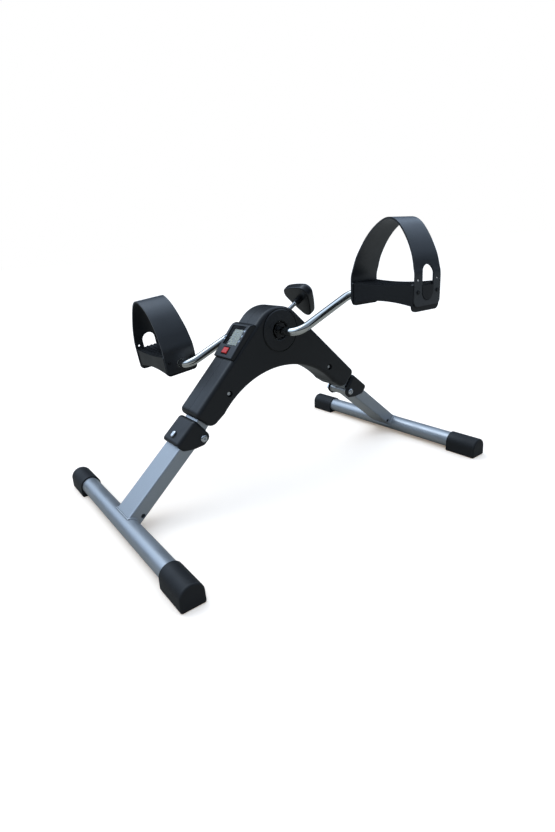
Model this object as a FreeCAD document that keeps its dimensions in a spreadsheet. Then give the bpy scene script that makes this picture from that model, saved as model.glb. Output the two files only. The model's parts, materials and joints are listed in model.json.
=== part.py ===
import FreeCAD, Part
import math
import os

V = FreeCAD.Vector
Rotation = FreeCAD.Rotation
Placement = FreeCAD.Placement
X_AXIS, Y_AXIS, Z_AXIS = V(1, 0, 0), V(0, 1, 0), V(0, 0, 1)

# Folding pedal exerciser. Origin on the floor under the middle, +Z up, X along the
# length (display end at -X, tension knob end at +X), Y across (the right pedal at -Y).

# ---------------------------------------------------------------- driving sizes (mm, degrees)
DRIVING = (
    ("foot_spread", 512.8, "distance between the two foot tube axes"),
    ("foot_length", 380.0, "length of a foot over its caps"),
    ("foot_tube_od", 25.4, "outer diameter of a foot tube"),
    ("foot_axis_height", 14.8, "foot tube axis above the floor"),
    ("tube_wall", 1.5, "wall of every steel tube"),
    ("cap_length", 50.0, "length of a foot cap"),
    ("cap_wall", 2.1, "rubber round the foot tube"),
    ("leg_angle", 40.6, "slope of a leg above the floor"),
    ("leg_width", 40.0, "leg tube across Y"),
    ("leg_depth", 20.0, "leg tube, outer face to inner face"),
    ("pivot_along", 147.0, "fold pivot from the foot axis, along the leg"),
    ("pivot_below", 9.0, "fold pivot inward of the leg centre line"),
    ("pivot_bolt_r", 3.0, "fold bolt radius"),
    ("pivot_bush_r", 7.0, "outer radius of the fold bush"),
    ("hinge_half_width", 22.8, "hinge cover, half width"),
    ("hinge_wall", 2.3, "hinge cover wall"),
    ("lock_along", 129.0, "lock button from the foot axis, along the leg"),
    ("arm_angle", 45.2, "slope of the frame tubes and the display"),
    ("arm_reach", 37.8, "line the tubes and display are set from, off the crank axis"),
    ("frame_tube_width", 34.0, "frame tube across Y"),
    ("frame_tube_depth", 20.0, "frame tube, outer to inner face"),
    ("frame_tube_inset", 6.7, "frame tube under the arm line"),
    ("crank_height", 227.5, "crank axis above the floor"),
    ("crown_height", 33.5, "housing crown above the crank axis"),
    ("slope_angle", 43.8, "housing slopes above the floor"),
    ("slope_reach", 37.0, "housing slopes from the crank axis"),
    ("arch_radius", 135.0, "housing inner arch"),
    ("arch_top", 174.8, "top of the inner arch"),
    ("housing_half_width", 25.0, "housing, half width"),
    ("housing_wall", 2.4, "housing wall"),
    ("hub_disc_radius", 29.5, "raised disc round the crank"),
    ("hub_disc_face", 26.4, "disc face from the middle plane"),
    ("crank_radius", 114.0, "crank throw"),
    ("crank_angle", 22.0, "crank above level, as parked"),
    ("rod_r", 6.0, "crank rod radius"),
    ("rod_bend", 18.0, "bend radius of the crank rod axis"),
    ("arm_plane", 64.0, "crank arm from the middle plane"),
    ("sleeve_r", 8.0, "axle sleeve radius"),
    ("pedal_inner", 87.0, "pedal inner face from the middle plane"),
    ("pedal_length", 103.0, "pedal, inner to outer face"),
    ("pedal_width", 50.0, "tread, front to back"),
    ("strap_thickness", 2.0, "pedal strap"),
    ("strap_width", 50.6, "pedal strap at its ends"),
    ("strap_waist", 44.6, "pedal strap over the foot"),
    ("knob_height", 15.0, "tension knob"),
    ("knob_gap", 27.5, "knob above the housing"),
    ("tension_lean", 58.5, "tension screw from upright, in line with the crank axis"),
    ("knob_turn", -4.0, "a lobe of the knob from down the slope, as parked"),
    ("tension_screw_r", 3.0, "tension screw radius"),
)

doc = FreeCAD.newDocument("pedal_exerciser")
sheet = doc.addObject("Spreadsheet::Sheet", "Sizes")
for row, (alias, value, meaning) in enumerate(DRIVING, start=1):
    sheet.set(f"A{row}", meaning)
    sheet.set(f"B{row}", str(value))
    sheet.setAlias(f"B{row}", alias)
doc.recompute()


class Sizes:
    """The sheet's values, for outlines that are worked out in this file."""


for alias, _, _ in DRIVING:
    setattr(Sizes, alias, float(getattr(sheet, alias)))

RUNNING_GAP = 0.05       # radial clearance of a shaft that turns in its bush
TOUCH_GAP = 0.3          # clearance between bodies that move past each other
NODES = {}


# ---------------------------------------------------------------- helpers
def put(feature, **values):
    """Set properties: text is bound to the sheet as an expression."""
    for name, value in values.items():
        if isinstance(value, str):
            feature.setExpression(name, value)
        else:
            setattr(feature, name, value)
    return feature


def node(feature, name):
    """Name a finished sub-part, which is written to parts/NAME.step."""
    feature.Label = name
    NODES[name] = feature
    return feature


def along_y(x, y, z):
    """A placement that turns a primitive's +Z to +Y and puts its foot at x, y, z."""
    return Placement(V(x, y, z), Rotation(X_AXIS, -90))


def cylinder(name, radius, height, place=Placement()):
    return put(doc.addObject("Part::Cylinder", name), Radius=radius, Height=height, Placement=place)


def box(name, length, width, height, place=Placement()):
    """A box centred on the placement in X and Y, rising from it in Z."""
    feature = put(doc.addObject("Part::Box", name), Length=length, Width=width, Height=height)
    doc.recompute()
    middle = V(-feature.Length.Value / 2, -feature.Width.Value / 2, 0)
    feature.Placement = place * Placement(middle, Rotation())
    return feature


def fuse(name, *shapes):
    return put(doc.addObject("Part::MultiFuse", name), Shapes=list(shapes))


def cut(name, base, *tools):
    tool = tools[0] if len(tools) == 1 else fuse(name + "_tools", *tools)
    return put(doc.addObject("Part::Cut", name), Base=base, Tool=tool)


def ring(name, outer, inner, height, place=Placement()):
    """A tube or washer between two radii."""
    return cut(name, cylinder(name + "_outer", outer, height, place),
               cylinder(name + "_inner", inner, height, place))


def hexagon(name, across_flats, height, place=Placement()):
    feature = doc.addObject("Part::Prism", name)
    return put(feature, Polygon=6, Circumradius=across_flats / math.sqrt(3), Height=height,
               Placement=place)


def sketch_in(body, plane, geometry, lift=0.0):
    """A sketch on one of the body's own origin planes, lifted along its normal."""
    sketch = body.newObject("Sketcher::SketchObject", body.Name + "_sketch")
    support = next(f for f in body.Origin.OriginFeatures if f.Role == plane + "_Plane")
    sketch.AttachmentSupport = (support, [""])
    sketch.MapMode = "FlatFace"
    sketch.AttachmentOffset = Placement(V(0, 0, lift), Rotation())
    for piece in geometry:
        sketch.addGeometry(piece, False)
    return sketch


def pad(name, plane, geometry, length, lift=0.0, middle=False, reverse=False, body=None):
    """Pad an outline. XY pads to +Z, XZ to -Y and YZ to +X, or both ways when middle."""
    body = body or doc.addObject("PartDesign::Body", name)
    feature = body.newObject("PartDesign::Pad", name + "_pad")
    feature.Profile = sketch_in(body, plane, geometry, lift)
    feature.SideType = "Symmetric" if middle else "One side"
    feature.Reversed = reverse
    put(feature, Length=length)
    doc.recompute()
    return body


def pocket(body, plane, geometry, length, lift=0.0, middle=False, forward=False):
    """Cut an outline out of a body; forward is along the sketch's normal."""
    before = body.Shape.Volume
    feature = body.newObject("PartDesign::Pocket", body.Name + "_pocket")
    feature.Profile = sketch_in(body, plane, geometry, lift)
    feature.SideType = "Symmetric" if middle else "One side"
    feature.Reversed = forward
    put(feature, Length=length)
    doc.recompute()
    if body.Shape.Volume > before - 0.1:
        raise RuntimeError(f"a pocket in {body.Name} cuts nothing")
    return body


def turned(name, profile, place=Placement()):
    """A turned piece: (radius, height) corners swept round its own Z axis."""
    body = doc.addObject("PartDesign::Body", name)
    sketch = sketch_in(body, "XZ", closed(profile))
    feature = body.newObject("PartDesign::Revolution", name + "_turn")
    feature.Profile = sketch
    feature.ReferenceAxis = (sketch, ["V_Axis"])
    feature.Angle = 360
    body.Placement = place
    return body


def fillet_where(body, radius, wanted):
    """Round the edges of a body's tip for which wanted(edge) holds."""
    tip = body.Tip
    names = [f"Edge{i + 1}" for i, edge in enumerate(tip.Shape.Edges) if wanted(edge)]
    feature = body.newObject("PartDesign::Fillet", body.Name + "_fillet")
    feature.Base = (tip, names)
    put(feature, Radius=radius)
    doc.recompute()
    return body


def closed(points):
    """Straight sides through (x, y) corners, back to the first."""
    return [Part.LineSegment(V(*a, 0), V(*b, 0)) for a, b in zip(points, points[1:] + points[:1])]


def rectangle(x0, y0, x1, y1):
    return closed([(x0, y0), (x1, y0), (x1, y1), (x0, y1)])


def circle(x, y, radius):
    return [Part.Circle(V(x, y, 0), Z_AXIS, radius)]


def rounded_path(points):
    """Edges through (x, y, radius) points; each inner corner gets an arc of its radius."""
    edges = []
    start = V(points[0][0], points[0][1], 0)
    for before, corner, after in zip(points, points[1:], points[2:]):
        here = V(corner[0], corner[1], 0)
        back = (V(before[0], before[1], 0) - here).normalize()
        ahead = (V(after[0], after[1], 0) - here).normalize()
        if corner[2] == 0:
            edges.append(Part.LineSegment(start, here))
            start = here
            continue
        half = back.getAngle(ahead) / 2
        reach = corner[2] / math.tan(half)
        depth = corner[2] / math.sin(half) - corner[2]
        top = here + (back + ahead).normalize() * depth
        edges.append(Part.LineSegment(start, here + back * reach))
        edges.append(Part.Arc(here + back * reach, top, here + ahead * reach))
        start = here + ahead * reach
    edges.append(Part.LineSegment(start, V(points[-1][0], points[-1][1], 0)))
    return edges


def rounded(points):
    """A closed outline of (x, y, radius) corners."""
    first, last = points[0], points[-1]
    seam = ((first[0] + last[0]) / 2, (first[1] + last[1]) / 2, 0)
    return rounded_path([seam] + points + [seam])


def at_extreme(coordinate, value, tolerance=0.01):
    """True for edges that lie wholly at one value of X, Y or Z."""
    def test(edge):
        low = getattr(edge.BoundBox, coordinate + "Min")
        high = getattr(edge.BoundBox, coordinate + "Max")
        return abs(low - value) < tolerance and abs(high - value) < tolerance
    return test


# ---------------------------------------------------------------- frames of the two ends
# Each end has a leg frame (x up the leg from the foot axis, z out of its outer face) and
# an arm frame (x up the frame tube, 0 level with the crank axis, z out towards the slope).
END_TURN = {"front": Rotation(), "rear": Rotation(Z_AXIS, 180)}
arm = math.radians(Sizes.arm_angle)
ARM_X = Sizes.arm_reach * math.sin(arm)
ARM_Z = Sizes.crank_height + Sizes.arm_reach * math.cos(arm)
# the crown's arc runs into both slopes and reaches the crown height between them
slope = math.radians(Sizes.slope_angle)
CROWN_R = (Sizes.slope_reach - Sizes.crown_height * math.cos(slope)) / (1 - math.cos(slope))
CROWN_MID = Sizes.crank_height + Sizes.crown_height - CROWN_R
LEG = {}
ARM = {}
for end, turn in END_TURN.items():
    foot = turn.multVec(V(-Sizes.foot_spread / 2, 0, Sizes.foot_axis_height))
    LEG[end] = Placement(foot, turn * Rotation(Y_AXIS, -Sizes.leg_angle))
    arm_line = turn.multVec(V(-ARM_X, 0, ARM_Z))
    ARM[end] = Placement(arm_line, turn * Rotation(Y_AXIS, -Sizes.arm_angle))
# z runs out from the crank axis along the tension screw, from where it leaves the rear slope
lean = math.radians(Sizes.tension_lean)
TENSION_REACH = Sizes.arm_reach / math.cos(lean - arm)
TENSION = Placement(V(0, 0, Sizes.crank_height), Rotation(Y_AXIS, Sizes.tension_lean)) * Placement(
    V(0, 0, TENSION_REACH), Rotation())


def across(frame, x, z, start):
    """A cylinder placement along the frame's Y, from start, through its (x, z)."""
    return frame * along_y(x, start, z)


# ---------------------------------------------------------------- frame tubes
TUBE_START = -181.3      # lower end of a frame tube in the arm frame
TUBE_GATE = 33.5         # the tubes stop this far from the crank axis
SCREW_X, SCREW_Z = 92.6, 155.4     # housing screws
SCREW_R = 2.0
RIVET_ALONG = -152.0     # rivet through tube and hinge spigot, in the arm frame
RIVET_R = 2.0
WIRE_R = 0.8
WIRE_Y = 14.0
WIRE_RISE = -40.0        # where the sensor wire turns up out of the front tube
TUBE_CORNER = 2.2        # outer corner radius of the rectangular tubes
tube_mid = -Sizes.frame_tube_inset - Sizes.frame_tube_depth / 2


def rectangular_tube(name, frame, start, length, width, depth, mid=0.0):
    """A tube along the frame's x with rounded outer corners, centred on its line z = mid."""
    outer = box(name + "_outer", length, width, depth,
                frame * Placement(V(start + length / 2, 0, mid), Rotation()))
    inner = box(name + "_inner", length, width + " - 2 * Sizes.tube_wall",
                depth + " - 2 * Sizes.tube_wall",
                frame * Placement(V(start + length / 2, 0, mid), Rotation()))
    doc.recompute()
    outer.Placement = outer.Placement * Placement(V(0, 0, -outer.Height.Value / 2), Rotation())
    inner.Placement = inner.Placement * Placement(V(0, 0, -inner.Height.Value / 2), Rotation())
    stock = doc.addObject("Part::Fillet", name + "_rounded")
    stock.Base = outer
    long_edges = [i for i, edge in enumerate(outer.Shape.Edges, start=1)
                  if abs(edge.Length - length) < 0.01]
    stock.Edges = [(i, TUBE_CORNER, TUBE_CORNER) for i in long_edges]
    return cut(name, stock, inner)


def frame_tube(end):
    name = "frame_tube_" + end
    tube = rectangular_tube(name + "_stock", ARM[end], TUBE_START, 190.0,
                            "Sizes.frame_tube_width", "Sizes.frame_tube_depth", tube_mid)
    gate = box(name + "_gate", 2 * TUBE_GATE, 80.0, 80.0, Placement(V(0, 0, 205), Rotation()))
    side = -1 if end == "front" else 1
    screw = cylinder(name + "_screw_hole", SCREW_R, 60.0, along_y(side * SCREW_X, -30, SCREW_Z))
    rivet = cylinder(name + "_rivet_hole", RIVET_R, 60.0,
                     across(ARM[end], RIVET_ALONG, tube_mid, -30))
    notch = cylinder(name + "_bush_notch", f"Sizes.pivot_bush_r + {2 * TOUCH_GAP}", 60.0,
                     across(LEG[end], Sizes.pivot_along, -Sizes.pivot_below, -30))
    tools = [gate, screw, rivet, notch]
    if end == "front":
        wire = cylinder(name + "_wire_hole", WIRE_R + 0.4, 10.0,
                        ARM[end] * Placement(V(WIRE_RISE, WIRE_Y, -10), Rotation()))
        tools.append(wire)
    return node(cut(name, tube, *tools), name)


# ---------------------------------------------------------------- legs
BUTTON_END = 4.9         # half the length of the oblong button
BUTTON_SIDE = 3.4        # half its width
BUTTON_FLANGE = 6.2
BUTTON_TOP = 21.2        # top of the lock button above the leg centre line
BUTTON_TRAVEL = 6.0
DRAIN = (21.0, -5.5)     # drain hole in the leg's side, by the foot


BUTTON_GAP = 0.3


def oblong(name, frame, grow, start, height, body=None):
    """The lock button's section, grown by a gap, from start above the leg's centre line."""
    side = BUTTON_SIDE + grow
    long = BUTTON_END + grow
    straight = long - side
    outline = [Part.LineSegment(V(-straight, -side, 0), V(straight, -side, 0)),
               Part.Arc(V(straight, -side, 0), V(long, 0, 0), V(straight, side, 0)),
               Part.LineSegment(V(straight, side, 0), V(-straight, side, 0)),
               Part.Arc(V(-straight, side, 0), V(-long, 0, 0), V(-straight, -side, 0))]
    made = pad(name, "XY", outline, height, lift=start, body=body)
    made.Placement = frame * Placement(V(Sizes.lock_along, 0, 0), Rotation())
    return made


def leg_parts(end):
    frame = LEG[end]
    stock = rectangular_tube(end + "_leg_stock", frame, 0.0, Sizes.pivot_along - 1.0,
                             "Sizes.leg_width", "Sizes.leg_depth")
    foot_space = cylinder(end + "_leg_cope", "Sizes.foot_tube_od / 2", 60.0,
                          across(frame, 0, 0, -30))
    bush_space = cylinder(end + "_leg_bush_seat", "Sizes.pivot_bush_r", 60.0,
                          across(frame, Sizes.pivot_along, -Sizes.pivot_below, -30))
    button_hole = oblong(end + "_leg_button_hole", frame, BUTTON_GAP, 4.0, 10.0)
    drain = cylinder(end + "_leg_drain", 3.0, 60.0, across(frame, DRAIN[0], DRAIN[1], -30))
    node(cut(end + "_leg_cut", stock, foot_space, bush_space, button_hole, drain),
         end + "_leg_tube")

    bush = across(frame, Sizes.pivot_along, -Sizes.pivot_below, -Sizes.leg_width / 2)
    node(ring(end + "_bush", "Sizes.pivot_bush_r", f"Sizes.pivot_bolt_r + {RUNNING_GAP}",
              "Sizes.leg_width", bush), end + "_pivot_bush")

    foot = Placement(frame.Base, Rotation())
    reach = Sizes.foot_length / 2 - 5.0
    node(ring(end + "_foot", "Sizes.foot_tube_od / 2", "Sizes.foot_tube_od / 2 - Sizes.tube_wall",
              "Sizes.foot_length - 10", foot * along_y(0, -reach, 0)), end + "_foot_tube")
    for side, turn in (("left", Rotation()), ("right", Rotation(Z_AXIS, 180))):
        cap = foot_cap(f"{end}_cap_{side}")
        cap.Placement = foot * Placement(V(0, 0, 0), turn)
        node(cap, f"{end}_foot_cap_{side}")

    lock_parts(end)


def foot_cap(name):
    """A rubber cap, round over the tube and flat on the floor, for the +Y end."""
    top = Sizes.foot_tube_od / 2 + Sizes.cap_wall
    low = -Sizes.foot_axis_height
    half = top + 0.4
    skirt = rounded_path([(-top, 0, 0), (-half, low, 3.0), (half, low, 3.0), (top, 0, 0)])
    outline = skirt + [Part.Arc(V(top, 0, 0), V(0, top, 0), V(-top, 0, 0))]
    outer_end = Sizes.foot_length / 2
    body = pad(name, "XZ", outline, "Sizes.cap_length", lift=-outer_end)
    fillet_where(body, 2.5, at_extreme("Y", outer_end))
    pocket(body, "XZ", circle(0, 0, Sizes.foot_tube_od / 2), Sizes.cap_length - 5.0,
           lift=-(outer_end - Sizes.cap_length), forward=False)
    return body


def lock_parts(end):
    """The sprung button that pokes through the hinge cover, and its hairpin leaf."""
    wall = Sizes.leg_depth / 2 - Sizes.tube_wall
    flange = (wall - TOUCH_GAP - 3.0, wall - TOUCH_GAP)
    button = pad(end + "_button", "XY", circle(0, 0, BUTTON_FLANGE), flange[1] - flange[0],
                 lift=flange[0])
    oblong(end + "_button_cap", LEG[end], 0.0, flange[1], BUTTON_TOP - flange[1], body=button)
    fillet_where(button, 1.5, at_extreme("Z", BUTTON_TOP))
    node(button, end + "_lock_button")

    leaf = 0.8
    floor = -wall
    tip_x = Sizes.lock_along + 4.0
    bend_x = Sizes.lock_along - 34.0
    top = flange[0]
    outline = rounded([
        (tip_x, floor, 0), (bend_x, floor, 2.0), (bend_x, floor + 5.0, 2.0),
        (Sizes.lock_along - 6.0, top, 4.0), (tip_x, top, 0), (tip_x, top - leaf, 0),
        (Sizes.lock_along - 5.6, top - leaf, 3.2), (bend_x + leaf, floor + 4.5, 1.2),
        (bend_x + leaf, floor + leaf, 1.2), (tip_x, floor + leaf, 0)])
    spring = pad(end + "_leaf", "XZ", outline, 9.0, middle=True)
    spring.Placement = LEG[end]
    node(spring, end + "_lock_spring")


# ---------------------------------------------------------------- hinge covers, bolts, rivets
COVER_LOW, COVER_HIGH, COVER_TOP = 115.8, 159.0, 18.2
COVER_CORNER = 5.4


def hinge_cover(end, tube):
    """The moulded hinge shell: a channel open inward, with a spigot up the frame tube."""
    frame = LEG[end]
    name = "hinge_" + end
    lobe = -Sizes.pivot_below - 9.8
    outline = rounded([
        (COVER_LOW, COVER_TOP, 0), (COVER_LOW + 0.4, 3.0, 7.0), (127.0, -9.0, 12.0),
        (141.0, lobe, 8.0), (157.2, lobe, 9.0), (COVER_HIGH, COVER_TOP, 0)])
    shell = pad(name + "_shell", "XZ", outline, "2 * Sizes.hinge_half_width", middle=True)
    half = Sizes.hinge_half_width
    rounded_edges = [at_extreme("Y", half), at_extreme("Y", -half), at_extreme("Z", COVER_TOP)]
    fillet_where(shell, COVER_CORNER, lambda e: any(test(e) for test in rounded_edges)
                 and e.BoundBox.ZMax > 10)
    shell.Placement = frame
    spigot = box(name + "_spigot", 40.0, "Sizes.frame_tube_width - 2 * Sizes.tube_wall",
                 "Sizes.frame_tube_depth - 2 * Sizes.tube_wall",
                 ARM[end] * Placement(V(TUBE_START + 18.5, 0, tube_mid), Rotation()))
    doc.recompute()
    half_depth = spigot.Height.Value / 2
    spigot.Placement = spigot.Placement * Placement(V(0, 0, -half_depth), Rotation())
    blank = fuse(name + "_blank", shell, spigot)

    inside = Sizes.leg_width + 2 * TOUCH_GAP
    leg_space = box(name + "_leg_space", 47.6, inside, 44.0,
                    frame * Placement(V(123.8, 0, COVER_TOP - Sizes.hinge_wall - 44.0), Rotation()))
    low_space = box(name + "_low_space", 70.0, inside, 23.0,
                    frame * Placement(V(135.0, 0, -30.0), Rotation()))
    bush_space = cylinder(name + "_bush_space", f"Sizes.pivot_bush_r + {2 * TOUCH_GAP}", inside,
                          across(frame, Sizes.pivot_along, -Sizes.pivot_below, -inside / 2))
    bolt_hole = cylinder(name + "_bolt_hole", "Sizes.pivot_bolt_r", 60.0,
                         across(frame, Sizes.pivot_along, -Sizes.pivot_below, -30))
    button_hole = oblong(name + "_button_hole", frame, BUTTON_GAP + 0.1, 11.0, 10.0)
    rivet_hole = cylinder(name + "_rivet_hole", RIVET_R, 60.0,
                          across(ARM[end], RIVET_ALONG, tube_mid, -30))
    node(cut(name, blank, leg_space, low_space, bush_space, bolt_hole, button_hole,
             rivet_hole, tube), "hinge_cover_" + end)


def pivot_hardware():
    """Button-head bolts with their heads on the right (-Y) side, and hex nuts."""
    half = Sizes.hinge_half_width
    bolt_r = Sizes.pivot_bolt_r
    bolts = []
    nuts = []
    for end, side in (("front", 1), ("rear", -1)):
        centre = LEG[end].multVec(V(Sizes.pivot_along, 0, -Sizes.pivot_below))
        profile = [(0, -3.0), (2.2, -3.0), (4.0, -2.2), (5.0, -0.8), (5.0, 0), (bolt_r, 0),
                   (bolt_r, 2 * half + 6.0), (0, 2 * half + 6.0)]
        bolts.append(turned(end + "_pivot_bolt", profile, along_y(centre.x, -half, centre.z)))
        seat = along_y(centre.x, half, centre.z)
        nuts.append(cut(end + "_pivot_nut", hexagon(end + "_pivot_hex", 10.0, 5.0, seat),
                        cylinder(end + "_pivot_thread", "Sizes.pivot_bolt_r", 5.0, seat)))
    node(group("pivot_bolts_group", bolts), "pivot_bolts")
    node(group("pivot_nuts_group", nuts), "pivot_nuts")


def rivets():
    pieces = []
    half = Sizes.frame_tube_width / 2
    for end in END_TURN:
        profile = [(0, -1.2), (2.6, -1.2), (3.5, -0.4), (3.5, 0), (RIVET_R, 0),
                   (RIVET_R, 2 * half), (3.5, 2 * half), (3.5, 2 * half + 0.4),
                   (2.6, 2 * half + 1.2), (0, 2 * half + 1.2)]
        pieces.append(turned(end + "_rivet", profile,
                             across(ARM[end], RIVET_ALONG, tube_mid, -half)))
    node(group("rivets_group", pieces), "hinge_rivets")


def group(name, pieces):
    """Identical loose pieces kept together as separate solids."""
    return put(doc.addObject("Part::Compound", name), Links=pieces)


# ---------------------------------------------------------------- housing
ARM_END_TOP = (142.9, 131.2)
ARM_END_LOW = (123.5, 113.3)
ARM_FOOT_X = 102.0       # where the arm's rounded foot meets the inner arch


def meet(p, q, r, s):
    """Where the line through p and q meets the line through r and s."""
    a, b = (q[0] - p[0], q[1] - p[1]), (s[0] - r[0], s[1] - r[1])
    k = ((r[0] - p[0]) * b[1] - (r[1] - p[1]) * b[0]) / (a[0] * b[1] - a[1] * b[0])
    return (p[0] + k * a[0], p[1] + k * a[1])


def shifted(p, q, inset):
    """The line through p and q moved to its right by inset."""
    length = math.hypot(q[0] - p[0], q[1] - p[1])
    side = ((q[1] - p[1]) / length * inset, -(q[0] - p[0]) / length * inset)
    return (p[0] + side[0], p[1] + side[1]), (q[0] + side[0], q[1] + side[1])


def housing_outline(inset):
    """Side view of the housing, drawn in by inset: crown, two sloping arms, round arch."""
    crown = CROWN_R - inset
    tangent = (crown * math.sin(slope), CROWN_MID + crown * math.cos(slope))
    below = (tangent[0] + 100 * math.cos(slope), tangent[1] - 100 * math.sin(slope))
    end_line = shifted(ARM_END_TOP, ARM_END_LOW, inset)
    arch = Sizes.arch_radius + inset
    arch_z = Sizes.arch_top - Sizes.arch_radius
    foot = (ARM_FOOT_X, arch_z + math.sqrt(Sizes.arch_radius ** 2 - ARM_FOOT_X ** 2))
    foot_line = shifted(ARM_END_LOW, foot, inset)
    corner_top = meet(tangent, below, *end_line)
    corner_low = meet(*end_line, *foot_line)
    # the inset foot line meets the inset arch circle
    direction = (foot_line[1][0] - foot_line[0][0], foot_line[1][1] - foot_line[0][1])
    length = math.hypot(*direction)
    unit = (direction[0] / length, direction[1] / length)
    offset = (foot_line[0][0], foot_line[0][1] - arch_z)
    along = offset[0] * unit[0] + offset[1] * unit[1]
    gap = math.sqrt(along ** 2 - offset[0] ** 2 - offset[1] ** 2 + arch ** 2)
    reach = -along - gap
    foot_in = (foot_line[0][0] + unit[0] * reach, foot_line[0][1] + unit[1] * reach)
    low_r = 12.0 - inset
    top_r = 7.6 - inset
    half = [(*tangent, 0), (*corner_top, top_r), (*corner_low, low_r), (*foot_in, 0)]
    mirrored = [(-x, z, r) for x, z, r in half]
    return (rounded_path(half) + rounded_path(mirrored)
            + [Part.Arc(V(-tangent[0], tangent[1], 0),
                        V(0, CROWN_MID + crown, 0), V(tangent[0], tangent[1], 0)),
               Part.Arc(V(-foot_in[0], foot_in[1], 0), V(0, arch_z + arch, 0),
                        V(foot_in[0], foot_in[1], 0))])


HOUSING_ROUND, POCKET_ROUND = 6.0, 3.8       # outer edge of the housing, and its pocket's
HUB_HOLE_R = 13.0
GROOVE_WIDE, GROOVE_DEEP = 1.2, 1.1     # groove round the hub disc
SEAM = 0.15              # each half stops this far from the middle plane
CASE_LOW, CASE_HIGH = -78.0, -19.0      # display module, in the front arm frame
CASE_SEAT = -1.9


def housing_half(side):
    """Half of the housing. side is +1 for the left (+Y) shell, -1 for the right one."""
    name = "housing_" + ("left" if side > 0 else "right")
    half = Sizes.housing_half_width
    face = side * half
    toward = side > 0
    shell = pad(name + "_shell", "XZ", housing_outline(0.0), f"Sizes.housing_half_width - {SEAM}",
                lift=-side * SEAM, reverse=toward)
    fillet_where(shell, HOUSING_ROUND, at_extreme("Y", face))
    pocket(shell, "XZ", housing_outline(Sizes.housing_wall),
           f"Sizes.housing_half_width - Sizes.housing_wall - {SEAM}", lift=-side * SEAM,
           forward=not toward)
    inner = half - Sizes.housing_wall
    fillet_where(shell, POCKET_ROUND, at_extreme("Y", side * inner))

    disc_profile = [(0, inner), (Sizes.hub_disc_radius, inner),
                    (Sizes.hub_disc_radius, Sizes.hub_disc_face - 1.0),
                    (Sizes.hub_disc_radius - 1.0, Sizes.hub_disc_face),
                    (0, Sizes.hub_disc_face)]
    turn = -90 if side > 0 else 90
    disc = turned(name + "_disc", disc_profile,
                  Placement(V(0, 0, Sizes.crank_height), Rotation(X_AXIS, turn)))
    tube_side = Sizes.frame_tube_width / 2
    posts = []
    post_holes = []
    for x in (-SCREW_X, SCREW_X):
        at_tube = Placement(V(x, side * tube_side, SCREW_Z), Rotation(X_AXIS, turn))
        posts.append(cylinder(f"{name}_post_{x:.0f}", 6.0, half - tube_side - 1.0, at_tube))
        if side < 0:
            posts_hole = cylinder(f"{name}_screw_hole_{x:.0f}", SCREW_R, 20.0, at_tube)
            recess = cylinder(f"{name}_screw_recess_{x:.0f}", 4.4, 10.0,
                              Placement(V(x, -19.8, SCREW_Z), Rotation(X_AXIS, turn)))
            post_holes += [posts_hole, recess]
        else:
            post_holes.append(cylinder(f"{name}_pilot_{x:.0f}", SCREW_R, 5.5, at_tube))
    blank = fuse(name + "_blank", shell, disc, *posts)

    hub = cylinder(name + "_hub_hole", HUB_HOLE_R, 60.0, along_y(0, -30, Sizes.crank_height))
    chamfer = put(doc.addObject("Part::Cone", name + "_hub_chamfer"),
                  Radius1=HUB_HOLE_R, Radius2=HUB_HOLE_R + 2.0, Height=2.0)
    chamfer.Placement = Placement(V(0, side * (Sizes.hub_disc_face - 1.5), Sizes.crank_height),
                                  Rotation(X_AXIS, turn))
    groove = ring(name + "_groove", f"Sizes.hub_disc_radius + {GROOVE_WIDE}",
                  "Sizes.hub_disc_radius", 10.0,
                  Placement(V(0, side * (half - GROOVE_DEEP), Sizes.crank_height),
                            Rotation(X_AXIS, turn)))
    tools = [hub, chamfer, groove] + post_holes
    for end in END_TURN:
        mouth = box(f"{name}_{end}_mouth", 40.0, Sizes.frame_tube_width + 0.4,
                    Sizes.frame_tube_depth + 0.4,
                    ARM[end] * Placement(V(TUBE_START + 20, 0,
                                           tube_mid - Sizes.frame_tube_depth / 2 - 0.2),
                                         Rotation()))
        tools.append(mouth)
    tools.append(cylinder(name + "_tension_hole", "Sizes.tension_screw_r + 0.8", 20.0,
                          TENSION * Placement(V(0, 0, -10), Rotation())))
    if side > 0:
        tools.append(cylinder(name + "_wire_hole", WIRE_R + 0.4, 8.0,
                              ARM["front"] * Placement(V(WIRE_RISE, WIRE_Y, -6), Rotation())))
    tools.append(box(name + "_display_seat", CASE_HIGH - CASE_LOW + 0.6, 60.0, 20.0,
                     ARM["front"] * Placement(V((CASE_LOW + CASE_HIGH) / 2, 0, CASE_SEAT),
                                              Rotation())))
    node(cut(name, blank, *tools), name)


def housing_screws():
    pieces = []
    for x in (-SCREW_X, SCREW_X):
        profile = [(0, -2.2), (2.4, -2.2), (3.6, -1.2), (3.6, 0), (SCREW_R, 0),
                   (SCREW_R, 42.0), (0, 42.0)]
        screw = turned(f"screw_{x:.0f}", profile, along_y(x, -19.8, SCREW_Z))
        slot = box(f"screw_slot_{x:.0f}", 5.0, 1.0, 1.0,
                   Placement(V(x, -22.0, SCREW_Z), Rotation(X_AXIS, -90)))
        bar = box(f"screw_bar_{x:.0f}", 1.0, 5.0, 1.0,
                  Placement(V(x, -22.0, SCREW_Z), Rotation(X_AXIS, -90)))
        pieces.append(cut(f"screw_cut_{x:.0f}", screw, slot, bar))
    node(group("housing_screws_group", pieces), "housing_screws")


# ---------------------------------------------------------------- crank bracket and bearings
PLATE_OUT = 19.5         # outer face of a bracket plate from the middle plane
BUSH_R = 10.0
TAB_TOP, TAB_LOW = -10.0, -12.5    # tab that carries the tension nut, in the tension frame


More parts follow.
